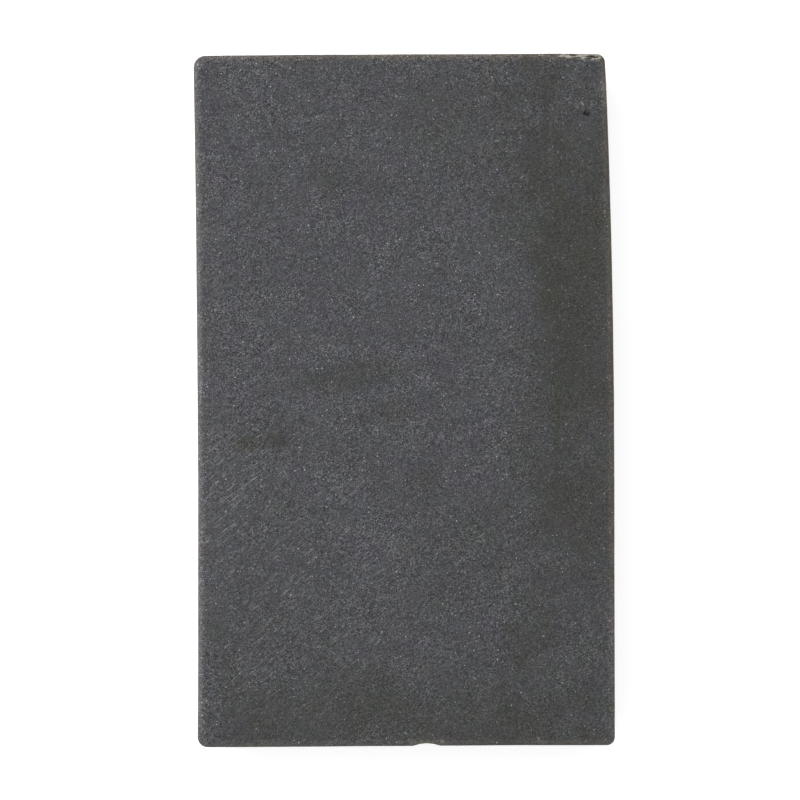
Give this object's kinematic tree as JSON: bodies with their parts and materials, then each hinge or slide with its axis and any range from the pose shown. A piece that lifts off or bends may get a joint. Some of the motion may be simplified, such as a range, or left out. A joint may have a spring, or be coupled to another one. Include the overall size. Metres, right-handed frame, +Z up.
{
  "type": "basalt massage stone",
  "caption": "Flat rectangular slab of dark fine-grained stone with worn edges, heated or cooled and laid on the body in massage.",
  "frame": {"origin": "on the underside, below the middle of the outline's bounding box", "axes": "+X across the stone's width, +Y along its length towards the slightly narrower head end, +Z up through its thickness to the upper face"},
  "size_m": [0.0914, 0.1504, 0.025],
  "materials": {
    "basalt": "matte"
  },
  "bodies": {
    "root": {"stone": "basalt"}
  },
  "joints": []
}
